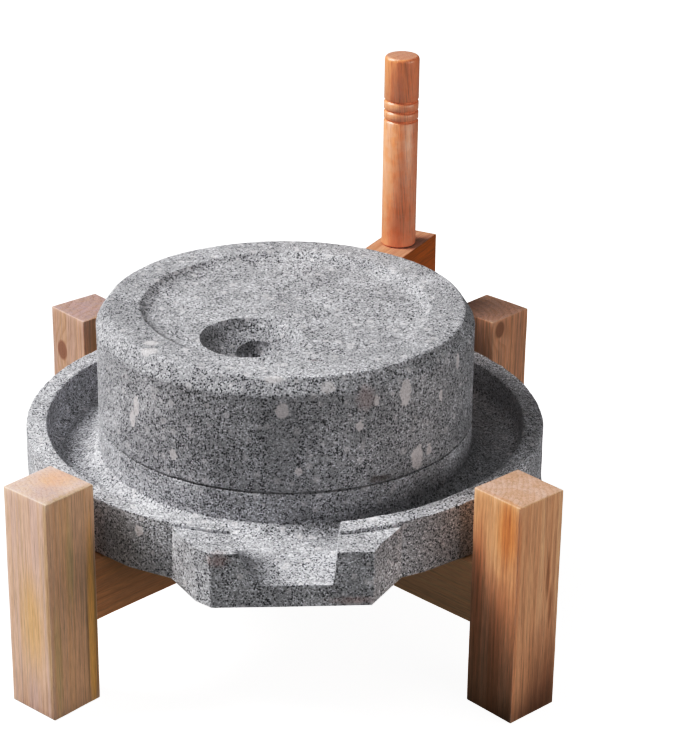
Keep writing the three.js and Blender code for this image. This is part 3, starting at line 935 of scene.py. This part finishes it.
# Places in a look are in millimetres from the leg's middle: x outwards, y along the stand's edge, z up.
legLooks = {
    "front_left": {
        "grain": {
            "Pith": (70, -22, 0),
            "Ring Width": 3.4,
            "Ring Share": 0.3,
            "Early": (0.92, 0.64, 0.51),
            "Late": (0.76, 0.48, 0.34),
            "Band": (0.92, 0.64, 0.46),
            "Stain": (0.86, 0.62, 0.53),
            "Stain Share": 0.7,
            "Line Depth": 0.18,
        },
        "patches": [
            ([((0, 20.6, 0), (40, 5, 140))], (0.82, 0.81, 0.68), 1.0, 0.3),
            ([((-15.4, 20.6, -26), (3.6, 5, 70))], (1.06, 0.98, 0.52), 0.95, 0.4),
            (
                [((-18.5, 20.6, -30), (0.8, 5, 62)), ((-11, 20.6, -26), (0.7, 5, 50))],
                (0.6, 0.55, 0.5),
                0.8,
                0.6,
            ),
            ([((15, 20.6, -40), (3, 5, 40)), ((2, 20.6, 30), (3, 5, 30))], (0.9, 0.98, 0.86), 0.9, 0.6),
            ([((20.6, 2, -14), (5, 9, 32))], (1.02, 0.94, 0.68), 0.9, 0.7),
            # Darker towards the foot
            ([((20.6, -2, -80), (5, 30, 26))], (0.8, 0.78, 0.82), 0.8, 0.7),
            ([((9, 9, 79), (11, 11, 3))], (0.84, 0.86, 0.88), 0.9, 0.6),
            ([((-9, -3, 79), (12, 10, 3))], (1.08, 0.88, 0.7), 0.85, 0.8),
        ],
        "topTintAndSheen": (0.86, 0.9, 0.97),
        "wornHighlightColor": (0.92, 0.76, 0.64),
    },
    "front_right": {
        "grain": {
            "Pith": (-55, -48, 0),
            "Ring Width": 3.6,
            "Ring Share": 0.4,
            "Early": (0.92, 0.6, 0.39),
            "Late": (0.72, 0.4, 0.23),
            "Band": (0.86, 0.5, 0.29),
            "Stain": (0.7, 0.4, 0.23),
            "Stain Share": 0.45,
            "Line Depth": 0.2,
        },
        "patches": [
            ([((0, -20.6, 0), (40, 4, 140))], (0.96, 0.86, 0.8), 1.0, 0.3),
            ([((11, -20.6, 58), (8, 5, 20))], (1.0, 0.78, 0.48), 0.8, 0.7),
            ([((-14, -20.6, -8), (4, 4, 60)), ((2, -20.6, -50), (6, 4, 50))], (0.86, 0.68, 0.56), 0.7, 0.7),
            (
                [((20.6, 9, 20), (5, 1.3, 16)), ((20.6, 12.5, -2), (5, 1.2, 14))],
                (0.55, 0.45, 0.38),
                0.85,
                0.5,
            ),
            # Darker towards the foot on both faces
            ([((20.6, 13, -84), (14, 22, 52))], (0.4, 0.3, 0.24), 0.9, 0.8),
            ([((20.6, -6, -92), (14, 36, 24))], (0.45, 0.36, 0.3), 0.85, 0.7),
            ([((0, -20.6, -90), (26, 4, 22))], (0.8, 0.7, 0.62), 0.7, 0.6),
        ],
        "topTintAndSheen": (0.8, 0.86, 1.05),
        "wornHighlightColor": (0.9, 0.68, 0.5),
    },
    "back_left": {
        "grain": {
            "Pith": (60, 35, 0),
            "Ring Width": 6.5,
            "Ring Share": 0.5,
            "Early": (0.66, 0.42, 0.32),
            "Late": (0.5, 0.3, 0.2),
            "Band": (0.62, 0.4, 0.27),
            "Stain": (0.56, 0.39, 0.34),
            "Stain Share": 0.5,
            "Knot": (8, 20.6, 47),
            "Knot Size": 6.0,
        },
        "patches": [([((-20.6, 0, 0), (4, 26, 95))], (1.25, 1.2, 0.95), 1.0, 0.3)],
        "topTintAndSheen": (0.85, 0.92, 1.1),
        "wornHighlightColor": (0.84, 0.66, 0.56),
    },
    "back_right": {
        "grain": {
            "Pith": (-60, 30, 0),
            "Ring Width": 6.0,
            "Ring Share": 0.5,
            "Early": (0.74, 0.45, 0.29),
            "Late": (0.58, 0.3, 0.16),
            "Band": (0.7, 0.4, 0.23),
            "Stain": (0.62, 0.38, 0.27),
            "Stain Share": 0.4,
            "Knot": (-12, -20.6, 71),
            "Knot Size": 5.0,
        },
        "topTintAndSheen": (0.85, 0.95, 1.15),
        "wornHighlightColor": (0.74, 0.54, 0.42),
    },
}


def makeLegs(shape, board):
    half = shape["side"] / 2
    master = makeTimber("legMaster", (-half, -half, 0), (half, half, shape["height"]), 6, shape["easing"])
    for place, setting in shape["places"].items():
        pick(master)
        bpy.ops.object.duplicate()
        leg = bpy.context.object
        leg.name = "leg_" + place
        angle = math.radians(setting["angle"])
        settle(leg, turn=math.radians(setting["turn"]))
        low = (-half - 5, -board["tenonThickness"] / 2 - 0.3, board["tenonBottom"] - 0.3)
        high = (board["tenonLength"] + 0.3 - half, board["tenonThickness"] / 2 + 0.3, board["tenonTop"] + 0.3)
        combine(leg, addBlock("mortise", low, high), "DIFFERENCE")
        out = Vector((setting["distance"] * mm, 0, 0))
        settle(leg, move=out)
        settle(leg, turn=angle)
        settle(leg, move=(0, millAxis.y, 0))
        finishTimber(leg)
        look = legLooks[place]
        middle = Matrix.Rotation(angle, 3, "Z") @ out + Vector((0, millAxis.y, shape["height"] / 2 * mm))
        turn = (0, 0, -angle - math.radians(setting["turn"]))
        settings = {"middle": middle, "turn": turn, "roughness": 0.6, "specular": 0.3, "wearHighlight": 0.6, **look}
        leg.data.materials.append(makeWoodMaterial("legTimber_" + place, settings))
        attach(leg, "base")
        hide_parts("leg_" + place)
    bpy.data.objects.remove(master)


makeLegs(legShape, boardShape)
print("legs made")


# Where the grain lies level, the pattern is first turned in plan and then laid down.
def alongPlan(angle):
    laidDown = Euler((0, math.radians(90), 0)).to_matrix()
    return (laidDown @ Matrix.Rotation(-angle, 3, "Z")).to_euler()


def makeBoard(name, ahead, behind, fromTop, shape):
    half = legShape["side"] / 2
    front, back = ahead["distance"] - half, behind["distance"] - half
    thick = shape["thickness"] / 2
    low = (shape["gap"] - back, -thick, shape["bottom"])
    piece = makeTimber(name, low, (front - shape["gap"], thick, shape["top"]), 9, 0.9)
    tenonHalf = shape["tenonThickness"] / 2
    tenonLow = (-back - shape["tenonLength"], -tenonHalf, shape["tenonBottom"])
    tenonHigh = (front + shape["tenonLength"], tenonHalf, shape["tenonTop"])
    combine(piece, addBlock("tenons", tenonLow, tenonHigh), "UNION")
    middle = (shape["bottom"] + shape["top"]) / 2
    slotLow, slotHigh = (middle, shape["top"] + 5) if fromTop else (shape["bottom"] - 5, middle + 0.3)
    slot = addBlock("slot", (-thick - 0.3, -thick - 5, slotLow), (thick + 0.3, thick + 5, slotHigh))
    combine(piece, slot, "DIFFERENCE")
    angle = math.radians(ahead["angle"])
    settle(piece, turn=angle)
    settle(piece, move=(0, millAxis.y, 0))
    finishTimber(piece)
    centre = Vector((0, millAxis.y, middle * mm))
    settings = {"middle": centre, "turn": alongPlan(angle), **boardLooks[name]}
    piece.data.materials.append(makeWoodMaterial(name + "Timber", settings))
    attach(piece, "base")
    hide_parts(name)


boardGrain = {
    "Pith": (45, 30, 0),
    "Ring Width": 5.0,
    "Ring Share": 0.35,
    "Stain Share": 0.3,
    "Line Depth": 0.15,
}
boardFinish = {"topTintAndSheen": (1.0, 1.0, 1.0), "wearHighlight": 0.3, "roughness": 0.62, "specular": 0.25}
# Board a is coloured darker as painted shade, for it lies under the tray's edge, and board b lighter as
# painted light; the two also differ in hue
boardLooks = {
    "cross_board_a": {
        "grain": {
            **boardGrain,
            "Early": (0.69, 0.38, 0.18),
            "Late": (0.57, 0.275, 0.115),
            "Band": (0.65, 0.34, 0.14),
            "Stain": (0.58, 0.33, 0.18),
        },
        "wornHighlightColor": (0.7, 0.45, 0.3),
        **boardFinish,
    },
    "cross_board_b": {
        "grain": {
            **boardGrain,
            "Early": (0.99, 0.7, 0.42),
            "Late": (0.96, 0.56, 0.28),
            "Band": (0.99, 0.64, 0.33),
            "Stain": (0.96, 0.62, 0.37),
        },
        "wornHighlightColor": (0.95, 0.7, 0.48),
        **boardFinish,
    },
}
legPlaces = legShape["places"]
makeBoard("cross_board_a", legPlaces["back_right"], legPlaces["front_left"], True, boardShape)
makeBoard("cross_board_b", legPlaces["back_left"], legPlaces["front_right"], False, boardShape)
print("boards made")

# Handle block and peg

pegShape = {
    "distance": 174,
    "radius": 12.7,
    "top": 354.2,
    "crownWidth": 2.2,
    "crownDrop": 3.2,
    "grooves": [306.7, 313.7, 321.2],
    "grooveDepth": 1.1,
    "grooveHalf": 1.3,
    "tenonRadius": 8,
    "tenonLength": 28,
}
handleLook = {
    "grain": {
        "Pith": (40, 25, 0),
        "Ring Width": 5.0,
        "Ring Share": 0.4,
        "Early": (0.58, 0.178, 0.012),
        "Late": (0.4, 0.104, 0.006),
        "Band": (0.53, 0.153, 0.011),
        "Stain": (0.48, 0.145, 0.012),
        "Stain Share": 0.3,
    },
    # The top is far paler than the sides: partly bleaching, partly a painted sheen
    "topTintAndSheen": (1.15, 2.12, 20.0),
    "wornHighlightColor": (0.72, 0.42, 0.24),
    "wearHighlight": 0.4,
    "roughness": 0.5,
    "specular": 0.35,
}
pegLook = {
    "grain": {
        "Pith": (38, -16, 0),
        "Ring Width": 6.5,
        "Ring Share": 0.4,
        "Early": (0.97, 0.41, 0.2),
        "Late": (0.84, 0.27, 0.11),
        "Band": (0.95, 0.365, 0.16),
        "Stain": (0.87, 0.345, 0.185),
        "Stain Share": 0.4,
    },
    "topTintAndSheen": (0.8, 1.05, 1.55),
    "wornHighlightColor": (0.92, 0.58, 0.42),
    "wearHighlight": 0.5,
    "roughness": 0.38,
    "specular": 1.0,
}


def makeHandleBlock(shape, peg):
    half = shape["width"] / 2
    low = (shape["inner"], -half, shape["top"] - shape["height"])
    piece = makeTimber("handleBlock", low, (shape["outer"], half, shape["top"]), 6, 1.0)
    deselectAll()
    bpy.ops.mesh.primitive_cylinder_add(
        vertices=48,
        radius=(peg["tenonRadius"] + 0.3) * mm,
        depth=(peg["tenonLength"] + 5) * mm,
        location=(peg["distance"] * mm, 0, (shape["top"] + 2.2 - peg["tenonLength"] / 2) * mm),
    )
    combine(piece, bpy.context.object, "DIFFERENCE")
    angle = math.radians(shape["angle"])
    settle(piece, turn=angle)
    settle(piece, move=(0, millAxis.y, 0))
    finishTimber(piece)
    centre = Matrix.Rotation(angle, 3, "Z") @ Vector((150 * mm, 0, 191 * mm)) + Vector((0, millAxis.y, 0))
    settings = {"middle": centre, "turn": alongPlan(angle), **handleLook}
    piece.data.materials.append(makeWoodMaterial("handleTimber", settings))
    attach(piece, "runner")
    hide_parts("handle_block")


def makePeg(shape, handle):
    r, shoulder = shape["radius"], handle["top"] + 0.3
    bottom = handle["top"] - shape["tenonLength"]
    outline = [(0, bottom), (shape["tenonRadius"], bottom), (shape["tenonRadius"], shoulder)]
    outline += [(r - 0.9, shoulder), (r - 0.3, shoulder + 0.3), (r, shoulder + 0.9)]
    for height in shape["grooves"]:
        for i in range(9):
            t = i / 4 - 1
            depth = shape["grooveDepth"] * math.cos(t * math.pi / 2) ** 1.4
            outline.append((r - depth, height + t * shape["grooveHalf"]))
    for x, y in arcPoints(0, 0, 1, 0, 90, 8):
        outline.append((r - shape["crownWidth"] * (1 - x), shape["top"] - shape["crownDrop"] * (1 - y)))
    outline.append((0, shape["top"]))
    piece = turnOutline("handlePeg", outline, 72)
    angle = math.radians(handle["angle"])
    distance = shape["distance"] * mm
    centre = Vector((distance * math.cos(angle), distance * math.sin(angle) + millAxis.y, 0))
    settle(piece, move=centre)
    pick(piece)
    bpy.ops.object.shade_smooth_by_angle(angle=math.radians(50))
    settings = {"middle": centre + Vector((0, 0, 0.3)), "turn": (0, math.radians(4), 0), **pegLook}
    piece.data.materials.append(makeWoodMaterial("pegTimber", settings))
    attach(piece, "runner")
    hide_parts("handle_peg")


makeHandleBlock(handleShape, pegShape)
makePeg(pegShape, handleShape)
print("handle made")

# Studio

studio = {
    "floorSeen": (0.5, 0.5, 0.5, 1),
    "floorBounce": (0.3, 0.3, 0.3, 1),
    "floorGlow": 0.9,
    "worldStrength": 0.07,
    "toneCurve": [(0.12, 0.085), (0.35, 0.4), (0.65, 0.76)],
    "lights": [
        {"name": "keyLight", "azimuth": 176, "elevation": 43, "away": 4.0, "size": (1.8, 2.4), "power": 178},
        {"name": "fillLight", "azimuth": 326, "elevation": 13, "away": 3.0, "size": (2.6, 1.2), "power": 27},
        {"name": "topLight", "azimuth": 290, "elevation": 86, "away": 2.5, "size": (1.4, 1.4), "power": 5},
    ],
}


def makeStudio(settings):
    deselectAll()
    bpy.ops.mesh.primitive_plane_add(size=40)
    floor = bpy.context.object
    floor.name = "studioFloor"
    material = bpy.data.materials.new("paleFloor")
    material.use_nodes = True
    tree = material.node_tree
    shader = tree.nodes["Principled BSDF"]
    # The floor looks near white but throws back no more light than a grey table
    seen = addNode(tree, "ShaderNodeLightPath").outputs["Is Camera Ray"]
    color = addMix(tree, seen, settings["floorBounce"], settings["floorSeen"])
    tree.links.new(color, shader.inputs["Base Color"])
    shader.inputs["Emission Color"].default_value = (1, 1, 1, 1)
    tree.links.new(addMath(tree, "MULTIPLY", seen, settings["floorGlow"]), shader.inputs["Emission Strength"])
    shader.inputs["Roughness"].default_value = 0.9
    shader.inputs["Specular IOR Level"].default_value = 0
    floor.data.materials.append(material)
    world = bpy.data.worlds.new("studioWorld")
    world.use_nodes = True
    world.node_tree.nodes["Background"].inputs["Color"].default_value = (1, 1, 1, 1)
    world.node_tree.nodes["Background"].inputs["Strength"].default_value = settings["worldStrength"]
    bpy.context.scene.world = world
    target = Vector((0, 0, 0.15))
    for setting in settings["lights"]:
        a, e = math.radians(setting["azimuth"]), math.radians(setting["elevation"])
        back = Vector((math.cos(a) * math.cos(e), math.sin(a) * math.cos(e), math.sin(e)))
        bpy.ops.object.light_add(type="AREA", location=target + back * setting["away"])
        light = bpy.context.object
        light.name = setting["name"]
        light.data.shape = "RECTANGLE"
        light.data.size, light.data.size_y = setting["size"]
        light.data.energy = setting["power"]
        light.rotation_euler = back.to_track_quat("Z", "Y").to_euler()
    display = bpy.context.scene.view_settings
    display.view_transform = "Standard"
    display.use_curve_mapping = True
    curve = display.curve_mapping.curves[3]
    for dark, light in settings["toneCurve"]:
        curve.points.new(dark, light)
    display.curve_mapping.update()


makeStudio(studio)
print("studio made")
